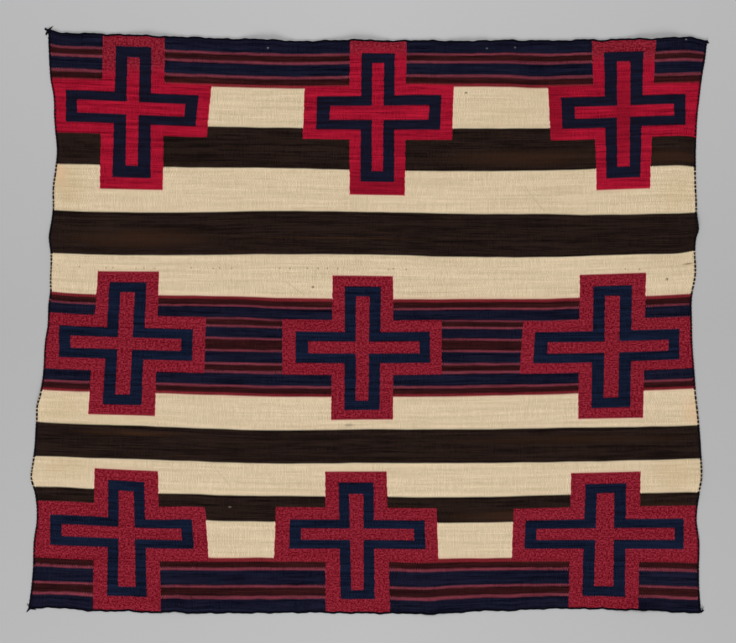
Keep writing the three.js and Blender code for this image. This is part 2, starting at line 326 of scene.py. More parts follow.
# Soft areas where a yarn's colour changes: dyed unevenly, marked with small stains, or duller and darker
# in broad patches of the ivory. Columns: the middle, the half sizes, the colour it tends to and how far.
Patch = namedtuple("Patch", "plan down long wide colour amount")
WARM_BROWN = (60, 38, 25)
DULL_IVORY = (194, 167, 122)
PEACH = (224, 182, 142)
WORN_CRIMSON = (116, 12, 30)
BLEED = (240, 176, 160)
PATCHES = {
    "brown": table(Patch, [
        (400, 303, 300, 30, WARM_BROWN, 0.6),
        (780, 312, 130, 26, WARM_BROWN, 0.65),
        (-600, 514, 240, 34, WARM_BROWN, 0.65),
        (-90, 516, 300, 3, WARM_BROWN, 0.9),
        (-630, 1027, 190, 9, WARM_BROWN, 0.9),
        (520, 1038, 400, 16, WARM_BROWN, 0.45),
        (350, 1232, 190, 22, WARM_BROWN, 0.75),
        (760, 1226, 150, 28, WARM_BROWN, 0.75),
        (-366, 1211, 6, 4, (150, 138, 120), 0.5),
    ]),
    # The ivory is duller and darker in broad patches, most of them near the left and right selvages, and
    # has a few small dark spots.
    "ivory": table(Patch, [
        (-785, 385, 70, 75, DULL_IVORY, 0.5),
        (-805, 352, 30, 55, PEACH, 0.6),
        (-640, 985, 160, 40, DULL_IVORY, 0.2),
        (838, 972, 50, 50, PEACH, 0.55),
        (786, 1135, 100, 60, DULL_IVORY, 0.4),
        (-790, 1125, 95, 55, DULL_IVORY, 0.35),
        (-790, 965, 110, 60, DULL_IVORY, 0.35),
        (790, 400, 80, 60, DULL_IVORY, 0.35),
        (330, 190, 120, 60, DULL_IVORY, 0.15),
        (-58, 997, 16, 7, (150, 134, 112), 0.8),
        (-151, 639, 6, 5, (110, 82, 54), 0.95),
        (765, 626, 6, 5, (90, 66, 44), 0.95),
        (245, 140, 5.5, 5, (90, 70, 52), 0.9),
        (819, 590, 20, 4, (110, 84, 58), 0.95),
    ]),
    "indigo": table(Patch, [
        (-267, 21, 4, 3, (150, 146, 140), 0.8),
        (299, 22, 4, 3, (150, 146, 140), 0.7),
        (372, 20, 3.5, 3, (140, 136, 130), 0.6),
        (814, 6, 3.4, 3, (170, 166, 160), 0.7),
    ]),
    "cross_indigo": table(Patch, [
        (0, 200, 9000, 480, (23, 13, 24), 0.55),
    ]),
    "crimson": table(Patch, [
        (12, 372, 110, 60, WORN_CRIMSON, 0.5),
        (652, 200, 40, 150, WORN_CRIMSON, 0.45),
        (475, 200, 70, 90, WORN_CRIMSON, 0.4),
    ]),
}
EVERYWHERE = 9000  # half size of what runs from edge to edge
BLED_EDGES = (125, 667, 924, 1340)  # the ivory's edges along which red dye has run
PATCHES["ivory"] += [Patch(0, down, EVERYWHERE, 6, BLEED, 0.4) for down in BLED_EDGES]
PATCH_RIM = 1.1  # a patch starts here, in half sizes from its middle
PATCH_HEART = 0.3  # and is full from here on inward

# Slanting joins inside the plain ivory, where the weaver worked a part at a time.
# Columns: where the join starts and ends.
LazyLine = namedtuple("LazyLine", "plan_start down_start plan_end down_end")
LAZY_LINES = table(LazyLine, [
    (-222, 626, -172, 660),
    (395, 372, 440, 432),
    (-400, 1116, -362, 1160),
])
LAZY_LINE_WIDTH = 2.0
LAZY_LINE_AMOUNT = 0.3

# The red dye that has run into the ivory round the crosses
BLEED_WIDTH = 4.0
BLEED_AMOUNT = 0.6

# Rows of small dark spots where a broken weft was replaced. Columns: how far down, start and end.
SpotRow = namedtuple("SpotRow", "down start end")
SPOT_ROWS = table(SpotRow, [
    (590, -812, -720),
    (593, -690, -555),
    (593, -470, 100),
    (596, 590, 700),
])
SPOT_PITCH = 25
SPOT_RADIUS = 2.6
SPOTS_LEFT_OUT = 0.35  # share of them
SPOT_SHIFT = 0.6  # how far a spot may lie from its even place, in pitches
SPOT_LIFT = 3.0  # and up and down

# Yarn colours in even light, from 0 to 255: the darker and the lighter of its fibres.
YarnLook = namedtuple("YarnLook", "dark light")
YARNS = {
    "indigo": YarnLook((0, 0, 10), (30, 31, 51)),
    "brown": YarnLook((6, 4, 4), (48, 34, 29)),
    "thin_brown": YarnLook((20, 5, 7), (62, 25, 26)),
    "ivory": YarnLook((188, 167, 133), (240, 219, 187)),
    "rose": YarnLook((28, 5, 14), (150, 67, 81)),
    "red": YarnLook((70, 6, 18), (148, 47, 53)),
    "cross_indigo": YarnLook((3, 6, 16), (25, 34, 59)),
    "mottled_red": YarnLook((96, 2, 17), (168, 50, 67)),
    "crimson": YarnLook((106, 3, 26), (190, 27, 54)),
}
SPOT_COLOUR = (136, 112, 84)

# How light a yarn is where, from 0 to 1, is a sum. Columns: the share of each bead's own chance, of
# the columns of like ribs, of streaks along the ribs, of clouds, of streaks along the wefts and of
# their broad drift, and the shift that sets the mean.
Shares = namedtuple("Shares", "speck columns ribs cloud streak drift shift")
STREAKY = Shares(0.25, 0.3, 0.5, 0, 1.5, 1.2, -1.375)
EVEN = Shares(0.25, 0.3, 0.5, 0, 0.6, 0.7, -0.675)
FLECKED = Shares(0.15, 0.22, 0, 0.6, 0, 0.5, -0.33)

# The spots of each kind of unevenness, long and wide
TURNED_SPOT = (26, 5)  # here the light and dark ribs change places
STREAK_SPOT = (80, 3)
DRIFT_SPOT = (300, 9)
RIB_SPOT = (3, 45)
CLOUD_SPOT = (6, 3.6)
FUZZ_SPOT = (1.1, 0.5)
WANDER_SPOT = (70, 160)
CLOUD_GAIN = 5
CLOUD_MIDDLE = 0.4

# Painted shade: the yarn's colour is darkened in the furrows between the beads and left full on their
# crowns.
FURROW_PAINTED_SHADE = 0.16  # how much lighter a bead's crown is than the furrow beside it
FURROW_PAINTED_FLOOR = 0.88  # the furrow's own share of the yarn's colour
WOOL_SPECULAR = 0.03
WOOL_SHEEN = 0.01
WOOL_SHEEN_ROUGHNESS = 0.5
WOOL_ROUGHNESS = 0.82
ROUGHNESS_SPAN = 0.2
# How uneven the rims of each yarn's patches are
PATCH_GAINS = {"indigo": 0.9, "brown": 2.4, "ivory": 0.9, "cross_indigo": 0.9}
CORD_LOOK = YarnLook((2, 3, 8), (14, 15, 27))
FIBRE_SPOT = (1.4, 0.35)
FIBRE_CONTRAST = 2.2
YARN_TWIST = 1.7  # length of one turn of the yarn in a ply
TWIST_HEIGHT = 0.35  # its height, in heights of the fibres
CORD_BUMP_DEPTH = 0.25
CORD_ROUGHNESS = 0.8
# The floor's colour holds painted light falloff: painted shade to the left and right, painted light
# above and below, a little more above.
FLOOR_LOOK = YarnLook((174, 174, 175), (194, 194, 195))
FLOOR_MIDDLE = 0.5  # the floor's shade under the blanket's middle, from 0 to 1
FLOOR_PAINTED_SHADE_ASIDE = 0.34  # for each metre to the left or right
FLOOR_PAINTED_LIGHT_AHEAD = 0.38  # for each metre up or down
FLOOR_PAINTED_LIGHT_TILT = 0.12  # and for each metre up alone
FLOOR_ROUGHNESS = 0.9
FLOOR_SPECULAR = 0.1
FLOOR_HALF = 8  # its half size in metres

# The photograph's view: straight down, with the blanket's top edge up
IMAGE_WIDTH = 1904  # length of floor that the image's width shows
CAMERA_LENS = 85
CAMERA_SENSOR = 36
CAMERA_AIM = (0.5, -1.4)
CAMERA_SEES = 50  # metres

# The lights, placed in metres. Power is in watts.
Light = namedtuple("Light", "name x y z size power")
LIGHTS = table(Light, [
    ("key", -1.5, -10, 6, 5, 900),
    ("overhead", 0, 3.3, 8, 3, 280),
])
FILL = 0.35


def curve(places, values, at):
    """A smooth curve through a table's values, level past both ends, with a row for each place."""
    places = np.asarray(places, float)
    at = np.clip(np.asarray(at, float), places[0], places[-1])
    values = np.asarray(values, float)
    if values.ndim == 1:
        values = np.repeat(values[:, None], len(at), axis=1)
    last = len(places) - 1
    i = np.clip(np.searchsorted(places, at, side="right") - 1, 0, last - 1)
    point = np.arange(len(at))

    def slope(k):
        before, after = np.maximum(k - 1, 0), np.minimum(k + 1, last)
        return (values[after, point] - values[before, point]) / (places[after] - places[before])

    span = places[i + 1] - places[i]
    t = (at - places[i]) / span
    start = (1 + 2 * t) * (1 - t) ** 2 * values[i, point] + t * (1 - t) ** 2 * span * slope(i)
    end = t * t * (3 - 2 * t) * values[i + 1, point] + t * t * (t - 1) * span * slope(i + 1)
    return start + end


def buckles_at(across, down):
    """How far the buckles raise each point."""
    height = np.zeros(len(across))
    for b in BUCKLES:
        angle = math.radians(b.turn)
        dx, dy = across - b.across, b.down - down
        along = (dx * math.cos(angle) + dy * math.sin(angle)) / b.long
        beside = (dy * math.cos(angle) - dx * math.sin(angle)) / b.wide
        height += b.height * np.maximum(0, 1 - along**2 - beside**2) ** 2
    return height


def ripples_at(across, down):
    """The small unevenness, never below zero."""
    height = np.zeros(len(across))
    for r in RIPPLES:
        angle = math.radians(r.turn)
        run = (across * math.cos(angle) + down * math.sin(angle)) / r.length + r.phase
        height += r.height * (1 + np.sin(math.tau * run))
    return height


def scallops_at(across, down):
    """How far the end edges' scallops push each point up, fading into the cloth and to the corners."""
    push = np.zeros(len(across))
    for s in SCALLOPS:
        push += s.height * np.sin(math.tau * (across / s.length + s.phase))
    near = np.exp(-((np.minimum(down, HEIGHT - down) / SCALLOP_REACH) ** 2))
    corner = np.clip((WIDTH / 2 - np.abs(across)) / SCALLOP_REACH, 0, 1)
    return push * near * corner


def bulges_at(across, down):
    """How far the bulges push each point to the right and up, fading into the cloth."""
    inside = {
        "top": down,
        "bottom": HEIGHT - down,
        "left": WIDTH / 2 + across,
        "right": WIDTH / 2 - across,
    }
    push = np.zeros((len(across), 2))
    for edge, bulges in BULGES.items():
        along = across if edge in ("top", "bottom") else down
        for b in bulges:
            near = ((along - b.at) / b.long) ** 2 + (inside[edge] / BULGE_REACH) ** 2
            push += np.outer(b.push * np.exp(-near), OUTWARD[edge])
    return push


def flat_place(across, down):
    """Where the part's tables put a point of the cloth, with the height of its underside."""
    part = across / WIDTH + 0.5
    rises = [curve(RISE_AT, line.rise, part) for line in WEFT_LINES]
    y = HEIGHT / 2 - down + curve([line.down for line in WEFT_LINES], rises, down)
    level = HEIGHT / 2 - y
    levels = [s.level for s in SELVAGES]
    left = curve(levels, [s.left for s in SELVAGES], level)
    right = curve(levels, [s.right for s in SELVAGES], level)
    x = across + left + (right - left) * part
    return np.stack([x, y, buckles_at(across, down)], 1)


def grid(across, down):
    """Every pairing of the two lists, row by row."""
    return np.tile(across, len(down)), np.repeat(down, len(across))


def find_shift():
    """How far the part was moved to put its origin under its middle, from the cloth's packed box."""
    across = np.linspace(-1, 1, PART_COLUMNS + 1) * (WIDTH / 2 - INSET)
    down = np.linspace(INSET, HEIGHT - INSET, PART_ROWS + 1)
    lowest = flat_place(*grid(across, down)).min(0)
    packed = np.array(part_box("blanket_cloth")[0]) / MM
    return np.array([packed[0] - lowest[0], packed[1] - lowest[1], 0])


SHIFT = find_shift()


def place(across, down):
    """Where a point of the shown cloth lies in the frame, and the height of its underside."""
    points = flat_place(across, down) + SHIFT
    points[:, 1] += scallops_at(across, down)
    points[:, :2] += bulges_at(across, down)
    points[:, 2] += ripples_at(across, down)
    return points


def chart(points, down, face):
    """Where points are in the pattern: plan, down, and a number for the side or the piece."""
    plan = points[:, 0] - SHIFT[0]
    drop = np.zeros(len(down))
    for s in SAGS:
        away = ((plan - s.plan) / s.long) ** 2 + ((down - s.down) / s.wide) ** 2
        drop += s.drop * np.exp(-away)
    return np.stack([plan, down - drop, np.full(len(down), float(face))], 1)


def new_piece(name, points, faces, material, slot, **attributes):
    """A mesh piece in the frame, in metres, with its vector attributes, riding on the one body."""
    mesh = bpy.data.meshes.new(name)
    mesh.from_pydata((np.asarray(points) * MM).tolist(), [], faces)
    for key, values in attributes.items():
        layer = mesh.attributes.new(key, "FLOAT_VECTOR", "POINT")
        layer.data.foreach_set("vector", np.asarray(values, np.float32).ravel())
    mesh.materials.append(material)
    mesh.shade_smooth()
    mesh.validate()
    piece = bpy.data.objects.new(name, mesh)
    bpy.context.scene.collection.objects.link(piece)
    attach(piece, "root")
    return piece


def with_rim(half, rounding, cells):
    """Steps from -half to half, with a narrow cell for the rounded rim at each end."""
    inner = np.linspace(rounding - half, half - rounding, cells - 1)
    return np.concatenate([[-half], inner, [half]])


def sheet_faces(columns, rows):
    """Faces of a closed sheet: a grid seen from above, the same grid from below, and the rim."""
    row, column = np.mgrid[0:rows, 0:columns]
    first = (row * (columns + 1) + column).ravel()
    top = np.stack([first, first + columns + 1, first + columns + 2, first + 1], 1)
    under = (columns + 1) * (rows + 1)
    bottom = top[:, ::-1] + under
    count = columns + 1
    north = np.arange(count)
    east = np.arange(1, rows + 1) * count + columns
    south = np.arange(rows * count + columns - 1, rows * count - 1, -1)
    west = np.arange(rows - 1, -1, -1) * count
    around = np.concatenate([north, east, south, west])
    start, end = around[:-1], around[1:]
    rim = np.stack([start, end, end + under, start + under], 1)
    return np.concatenate([top, bottom, rim]).tolist()


def make_cloth(material):
    """The woven cloth: one closed thin sheet with a rounded rim."""
    across_steps = with_rim(WIDTH / 2 - EDGE_INSET, EDGE_ROUNDING, COLUMNS)
    down_steps = with_rim(HEIGHT / 2 - EDGE_INSET, EDGE_ROUNDING, ROWS) + HEIGHT / 2
    across, down = grid(across_steps, down_steps)
    underside = place(across, down)
    at_rim = (np.abs(across) > WIDTH / 2 - EDGE_INSET - EDGE_ROUNDING / 2) | (
        np.abs(down - HEIGHT / 2) > HEIGHT / 2 - EDGE_INSET - EDGE_ROUNDING / 2
    )
    drop = np.where(at_rim, RIM_DROP, 0)
    top, bottom = underside.copy(), underside.copy()
    top[:, 2] += CLOTH_THICK - drop
    bottom[:, 2] += drop
    charted = chart(underside, down, 0)
    charted_below = chart(underside, down, 1)
    return new_piece(
        "blanket_weave",
        np.concatenate([top, bottom]),
        sheet_faces(COLUMNS, ROWS),
        material,
        "wool_cloth",
        charted=np.concatenate([charted, charted_below]),
    )


class Tubes:
    """Gathers round threads into one mesh."""

    def __init__(self, sides):
        self.sides = sides
        self.points, self.faces, self.notes = [], [], []
        self.count = 0

    def add(self, centres, outward, radii, notes):
        """A closed tube along centres. outward is a direction for each step that the tube doesn't
        run along, and notes gives each step's attribute values."""
        centres = np.asarray(centres, float)
        steps = len(centres)
        heading = np.gradient(centres, axis=0)
        beside = np.cross(heading, outward)
        beside /= np.linalg.norm(beside, axis=1, keepdims=True)
        up = np.cross(beside, heading)
        up /= np.linalg.norm(up, axis=1, keepdims=True)
        radii = np.broadcast_to(radii, steps)[:, None, None]
        turn = math.tau * np.arange(self.sides) / self.sides
        ring = (
            np.cos(turn)[None, :, None] * beside[:, None, :]
            + np.sin(turn)[None, :, None] * up[:, None, :]
        )
        self.points.append((centres[:, None, :] + radii * ring).reshape(-1, 3))
        self.notes.append(np.repeat(np.asarray(notes, float), self.sides, axis=0))
        step, side = np.mgrid[0 : steps - 1, 0 : self.sides]
        here = self.count + step * self.sides + side
        beyond = self.count + step * self.sides + (side + 1) % self.sides
        quads = np.stack([here, beyond, beyond + self.sides, here + self.sides], -1)
        self.faces += quads.reshape(-1, 4).tolist()
        last = self.count + (steps - 1) * self.sides
        self.faces.append(list(range(self.count + self.sides - 1, self.count - 1, -1)))
        self.faces.append(list(range(last, last + self.sides)))
        self.count += steps * self.sides

    def piece(self, name, material, slot, attribute):
        """The gathered tubes as one piece, their notes in the named attribute."""
        notes = {attribute: np.concatenate(self.notes)}
        return new_piece(name, np.concatenate(self.points), self.faces, material, slot, **notes)


def cord_axis(across, down):
    """An edge cord's axis in the frame, its run in millimetres, and the directions around it."""
    axis = place(across, down)
    axis[:, 2] += CORD_RADIUS
    heading = np.gradient(axis, axis=0)
    run = np.concatenate([[0], np.cumsum(np.linalg.norm(np.diff(axis, axis=0), axis=1))])
    beside = np.stack([heading[:, 1], -heading[:, 0], np.zeros(len(axis))], 1)
    beside /= np.linalg.norm(beside, axis=1, keepdims=True)
    return axis, run, beside


def wind(axis, run, beside, winding, phase):
    """One ply that winds round the axis: its centres and the way out from the axis."""
    turn = math.tau * (run / winding.pitch + phase)
    aside = np.cos(turn)[:, None] * beside
    upward = np.sin(turn)[:, None] * np.array([0, 0, 1])
    return axis + winding.sideways * aside + winding.upward * upward, aside + upward


def edge_steps(length, winding):
    return int(round(length / winding.pitch * PLY_STEPS)) + 1


def make_cord(name, node, line, winding, material):
    """An edge cord's plies, wound round its axis."""
    axis, run, beside = line
    tubes = Tubes(PLY_SIDES)
    for number in range(winding.plies):
        phase = number / winding.plies
        centres, outward = wind(axis, run, beside, winding, phase)
        notes = np.stack([run, np.full(len(run), phase), np.full(len(run), number)], 1)
        tubes.add(centres, outward, winding.radius, notes)
    cord = tubes.piece(name, material, "edge_cord", "yarn")
    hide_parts(node)
    return cord


def end_line(down_at):
    """The line of the cord along the top or bottom edge, left to right."""
    across = np.linspace(-1, 1, edge_steps(WIDTH, END_CORD)) * (WIDTH / 2 - CORD_RADIUS)
    return cord_axis(across, np.full(len(across), float(down_at)))


def selvage_places(side):
    """Points of a selvage cord as woven, bottom to top."""
    down = np.linspace(HEIGHT - CORD_RADIUS, CORD_RADIUS, edge_steps(HEIGHT, SIDE_CORD))
    return np.full(len(down), side * (WIDTH / 2 - CORD_RADIUS)), down


def make_weft_loops(side, name, material):
    """The wefts' turns round a selvage cord, in small groups: over it and down its outer side."""
    chance = np.random.default_rng(12 + side)
    groups = np.arange(LOOP_PITCH, HEIGHT - LOOP_PITCH, LOOP_PITCH)
    groups = groups + chance.uniform(-LOOP_UNEVENNESS, LOOP_UNEVENNESS, len(groups))
    threads = (np.arange(LOOP_THREADS) - (LOOP_THREADS - 1) / 2) * THREAD_PITCH
    downs = (groups[:, None] + threads).ravel()
    middles = place(np.full(len(downs), side * (WIDTH / 2 - CORD_RADIUS)), downs)
    turn = np.linspace(math.pi, LOOP_END * math.pi, LOOP_STEPS)
    across, upward = side * LOOP_REACH * np.cos(turn), LOOP_RISE * np.sin(turn)
    shape = np.stack([across, np.zeros(LOOP_STEPS), upward], 1)
    inward = np.array([side * (EDGE_INSET + EDGE_ROUNDING), 0, 0])
    tubes = Tubes(LOOP_SIDES)
    for middle, down in zip(middles, downs):
        centres = middle + shape + np.array([0, 0, CORD_RADIUS])
        inside = np.tile(middle - inward, (LOOP_STEPS, 1))
        tubes.add(centres, shape, LOOP_RADIUS, chart(inside, np.full(LOOP_STEPS, down), 2))
    return tubes.piece(name, material, "wool_cloth", "charted")


def knot_middle(tassel):
    """The floor point under a corner knot."""
    across = np.array([tassel.side_x * (WIDTH / 2 - INSET)])
    down = np.array([HEIGHT / 2 - tassel.side_y * (HEIGHT / 2 - INSET)])
    corner = flat_place(across, down)[0] + SHIFT
    return np.array([
        corner[0] + tassel.side_x * KNOT_SETBACK + tassel.slip[0],
        corner[1] + tassel.side_y * KNOT_SETBACK + tassel.slip[1],
        0,
    ])


def add_knot(tubes, middle):
    """A flat overhand knot of cord."""
    t = np.linspace(0, math.tau, KNOT_STEPS)
    wide = (KNOT_RADIUS - KNOT_YARN_RADIUS) / 3
    high = KNOT_HEIGHT / 2 - KNOT_YARN_RADIUS
    loops = np.stack([
        wide * (np.sin(t) + 2 * np.sin(2 * t)),
        wide * (np.cos(t) - 2 * np.cos(2 * t)),
        -high * np.sin(3 * t),
    ], 1)
    centres = loops + middle + np.array([0, 0, KNOT_HEIGHT / 2])
    notes = np.stack([t * KNOT_RADIUS, np.zeros(len(t)), np.full(len(t), float(KNOT_SEED))], 1)
    tubes.add(centres, np.tile([0.0, 0.0, 1.0], (len(t), 1)), KNOT_YARN_RADIUS, notes)


def add_thread(tubes, middle, strand, kind, chance):
    """A thread that leaves the knot with its strand, curls a little and comes to rest on the floor."""
    reach = strand.reach * chance.uniform(kind.shortest, kind.longest)
    side = chance.uniform(-kind.spread, kind.spread)
    swing = chance.uniform(-kind.swing, kind.swing)
    seed = chance.random()
    t = np.linspace(0, 1, THREAD_STEPS)
    angle = math.radians(strand.turn)
    ahead = np.array([math.cos(angle), math.sin(angle), 0])
    left = np.array([-math.sin(angle), math.cos(angle), 0])
    spread = side * (strand.root + (strand.tip - strand.root) * t)
    aside = strand.bend * t**2 + spread + swing * np.sin(math.tau * (t * SWING_TURNS + seed))
    height = kind.radius + (KNOT_HEIGHT * ROOT_HEIGHT - kind.radius) * (1 - t) ** FALL
    centres = middle + np.outer(reach * t, ahead) + np.outer(aside, left)
    bobbing = height * (1 + BOB * np.sin(seed * BOB_SPREAD))
    centres[:, 2] = np.maximum(kind.radius, bobbing)
    notes = np.stack([reach * t, np.zeros(len(t)), np.full(len(t), seed * 10)], 1)
    upward = np.tile([0.0, 0.0, 1.0], (len(t), 1))
    tubes.add(centres, upward, kind.radius * (1 - THREAD_TAPER * t), notes)


def make_tassel(tassel, number, material):
    """A corner tassel: the knot, its frayed cord ends and a few stray fibres."""
    chance = np.random.default_rng(40 + number)
    middle = knot_middle(tassel)
    tubes = Tubes(PLY_SIDES)
    add_knot(tubes, middle)
    for strand in tassel.strands:
        for _ in range(strand.threads):
            add_thread(tubes, middle, strand, THREAD, chance)
    for _ in range(WISPS):
        strand = tassel.strands[chance.integers(len(tassel.strands))]
        add_thread(tubes, middle, strand, WISP, chance)
    piece = tubes.piece(f"{tassel.name}_yarn", material, "edge_cord", "yarn")
    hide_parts(tassel.name)
    return piece


def linear(colour):
    """A colour from 0 to 255 as the shader takes it."""
    shares = [c / 255 for c in colour]
    return (*[c / 12.92 if c <= 0.04045 else ((c + 0.055) / 1.055) ** 2.4 for c in shares], 1)


class Net:
    """A material's node tree, with a short call for each kind of node. Inputs are sockets or values."""

    def __init__(self, name):
        self.material = bpy.data.materials.new(name)
        self.material.use_nodes = True
        self.tree = self.material.node_tree
        self.shader = next(n for n in self.tree.nodes if n.type == "BSDF_PRINCIPLED")

    def join(self, value, socket):
        if isinstance(value, bpy.types.NodeSocket):
            self.tree.links.new(value, socket)
        else:
            socket.default_value = value

    def node(self, kind, *inputs, **settings):
        made = self.tree.nodes.new(kind)
        for key, value in settings.items():
            setattr(made, key, value)
        for value, socket in zip(inputs, made.inputs):
            self.join(value, socket)
        return made

    def math(self, operation, *inputs, clamp=False):
        return self.node("ShaderNodeMath", *inputs, operation=operation, use_clamp=clamp).outputs[0]

    def times(self, value, gain):
        return self.math("MULTIPLY", value, gain)

    def minus(self, value, less, clamp=False):
        return self.math("SUBTRACT", value, less, clamp=clamp)

    def scale(self, value, gain, shift, clamp=False):
        return self.math("MULTIPLY_ADD", value, gain, shift, clamp=clamp)

    def above(self, value, limit):
        return self.math("GREATER_THAN", value, limit)

    def absolute(self, value):
        return self.math("ABSOLUTE", value)

    def cell(self, value, pitch):
        """The number of the cell of that pitch in which the value is."""
        return self.math("FLOOR", self.times(value, 1 / pitch))

    def thrice(self, value):
        """A single number as a vector. Left to Blender, so many of these would overfill the shader."""
        single = isinstance(value, bpy.types.NodeSocket) and value.type == "VALUE"
        return self.combine(value, value, value) if single else value

    def vector(self, operation, *inputs):
        made = self.node("ShaderNodeVectorMath", *map(self.thrice, inputs), operation=operation)
        return made.outputs["Value" if operation == "LENGTH" else "Vector"]

    def combine(self, x, y, z=0.0):
        return self.node("ShaderNodeCombineXYZ", x, y, z).outputs[0]

    def separate(self, value):
        return self.node("ShaderNodeSeparateXYZ", value).outputs

    def attribute(self, name):
        return self.node("ShaderNodeAttribute", attribute_name=name).outputs["Vector"]

    def mix(self, factor, a, b):
        made = self.node("ShaderNodeMix", data_type="RGBA")
        self.join(factor, made.inputs[0])
        self.join(a, made.inputs[6])
        self.join(b, made.inputs[7])
        return made.outputs[2]

    def chance(self, x, y=0.0):
        """An even chance from 0 to 1, the same wherever x and y are the same."""
        made = self.node("ShaderNodeTexWhiteNoise", noise_dimensions="2D")
        self.join(self.combine(x, y), made.inputs["Vector"])
        return made.outputs["Value"]

    def grain(self, plan, down, long, wide, layer=0.0, detail=1.0):
        """Noise from 0 to 1 whose spots are long by wide millimetres."""
        u = self.times(plan, 1 / long)
        v = self.times(down, 1 / wide)
        made = self.node("ShaderNodeTexNoise")
        self.join(self.combine(u, v, layer), made.inputs["Vector"])
        made.inputs["Scale"].default_value = 1
        made.inputs["Detail"].default_value = detail
        return made.outputs[0]

    def spread(self, value, gain, middle=0.5):
        """Stretches noise about its middle and keeps it from 0 to 1."""
        return self.scale(value, gain, middle - 0.5 * gain, clamp=True)

    def look(self, yarn, shade):
        return self.mix(shade, linear(yarn.dark), linear(yarn.light))

    def smooth_step(self, value, low, high):
        made = self.node("ShaderNodeMapRange", interpolation_type="SMOOTHSTEP")
        for key, number in (("Value", value), ("From Min", low), ("From Max", high)):
            self.join(number, made.inputs[key])
        return made.outputs[0]

    def finish(self, colour, roughness, height, depth):
        """Joins the shader: wool has almost no gloss and a faint sheen of loose fibres."""
        bump = self.node("ShaderNodeBump")
        bump.inputs["Strength"].default_value = 1
        bump.inputs["Distance"].default_value = depth * MM
        self.join(height, bump.inputs["Height"])
        settings = {
            "Base Color": colour,
            "Roughness": roughness,
            "Normal": bump.outputs[0],
            "Specular IOR Level": WOOL_SPECULAR,
            "Sheen Weight": WOOL_SHEEN,
            "Sheen Roughness": WOOL_SHEEN_ROUGHNESS,
        }
        for name, value in settings.items():
            self.join(value, self.shader.inputs[name])
        return self.material


def line_through(net, t, start, end):
    """A value that runs evenly from start to end as t runs from 0 to 1."""
    return net.scale(t, end - start, start)


def from_middle(net, value, start, end):
    """How far a value is from the middle of a stretch."""
    return net.absolute(net.minus(value, (start + end) / 2))


def upright_rings(net, plan, down, down_thrice, bar):
    """How deep a point is inside each of an upright's three rings."""
    start, length = bar.starts[0], bar.ends[0] - bar.starts[0]
    t = net.scale(down, 1 / length, -start / length)
    middle = line_through(net, t, bar.middle_top, bar.middle_bottom)
    top = tuple(width / 2 for width in bar.widths_top)
    widening = tuple((low - high) / 2 for high, low in zip(bar.widths_top, bar.widths_bottom))
    halves = net.vector("MULTIPLY_ADD", t, widening, top)
    sides = net.vector("SUBTRACT", halves, net.absolute(net.minus(plan, middle)))
    centres = tuple((low + high) / 2 for low, high in zip(bar.starts, bar.ends))
    reach = tuple((high - low) / 2 for low, high in zip(bar.starts, bar.ends))
    off_centre = net.vector("ABSOLUTE", net.vector("SUBTRACT", down_thrice, centres))
    return net.vector("MINIMUM", sides, net.vector("SUBTRACT", reach, off_centre))


def arm_rings(net, plan, down, bar):
    """How deep a point is inside each of an arm's three rings."""
    height = bar.end - bar.start
    t = net.scale(down, 1 / height, -bar.start / height)
    left = net.minus(plan, line_through(net, t, bar.left_top, bar.left_bottom))
    right = net.minus(line_through(net, t, bar.right_top, bar.right_bottom), plan)
    left = net.vector("SUBTRACT", left, bar.stops_left)
    right = net.vector("SUBTRACT", right, bar.stops_right)
    reach = (height / 2, bar.ring / 2, bar.core / 2)
    sides = net.vector("SUBTRACT", reach, from_middle(net, down, bar.start, bar.end))
    return net.vector("MINIMUM", sides, net.vector("MINIMUM", left, right))


def cross_rings(net, plan, down):
    """How deep a point is inside the red, the indigo and the core of whichever cross it is in."""
    deepest = OUTSIDE
    down_thrice = net.thrice(down)
    for upright, arm in zip(UPRIGHTS, ARMS):
        in_upright = upright_rings(net, plan, down, down_thrice, upright)
        deepest = net.vector("MAXIMUM", deepest, in_upright)
        deepest = net.vector("MAXIMUM", deepest, arm_rings(net, plan, down, arm))
    return net.separate(deepest)


def stripe_number(net, down):
    """The number of the yarn whose stripe the point is in."""
    number = float(YARN_NUMBER[STRIPES[0].yarn])
    for above, below in zip(STRIPES, STRIPES[1:]):
        passed = net.above(down, float(above.end))
        change = YARN_NUMBER[below.yarn] - YARN_NUMBER[above.yarn]
        number = net.scale(passed, float(change), number)
    return number


def with_patches(net, colour, yarn, plan, down, unevenness):
    """The yarn's colour with its soft areas, each fading out unevenly to its rim."""
    for patch in PATCHES[yarn]:
        u = net.scale(plan, 1 / patch.long, -patch.plan / patch.long)
        v = net.scale(down, 1 / patch.wide, -patch.down / patch.wide)
        distance = net.vector("LENGTH", net.combine(u, v, unevenness))
        amount = net.smooth_step(distance, PATCH_RIM, PATCH_HEART)
        colour = net.mix(net.times(amount, patch.amount), colour, linear(patch.colour))
    return colour


def lazy_lines(net, plan, down):
    """1 along the slanting joins in the ivory, 0 elsewhere."""
    found = 0.0
    for join in LAZY_LINES:
        run, fall = join.plan_end - join.plan_start, join.down_end - join.down_start
        length = math.hypot(run, fall)
        u = net.minus(plan, join.plan_start)
        v = net.minus(down, join.down_start)
        along = net.scale(u, run / length, net.times(v, fall / length))
        beside = net.scale(u, fall / length, net.times(v, -run / length))
        beyond = net.math("MAXIMUM", from_middle(net, along, 0, length), length / 2)
        ends = net.minus(beyond, length / 2)
        distance = net.vector("LENGTH", net.combine(beside, ends))
        found = net.math("MAXIMUM", found, net.smooth_step(distance, LAZY_LINE_WIDTH, 0.0))
    return found


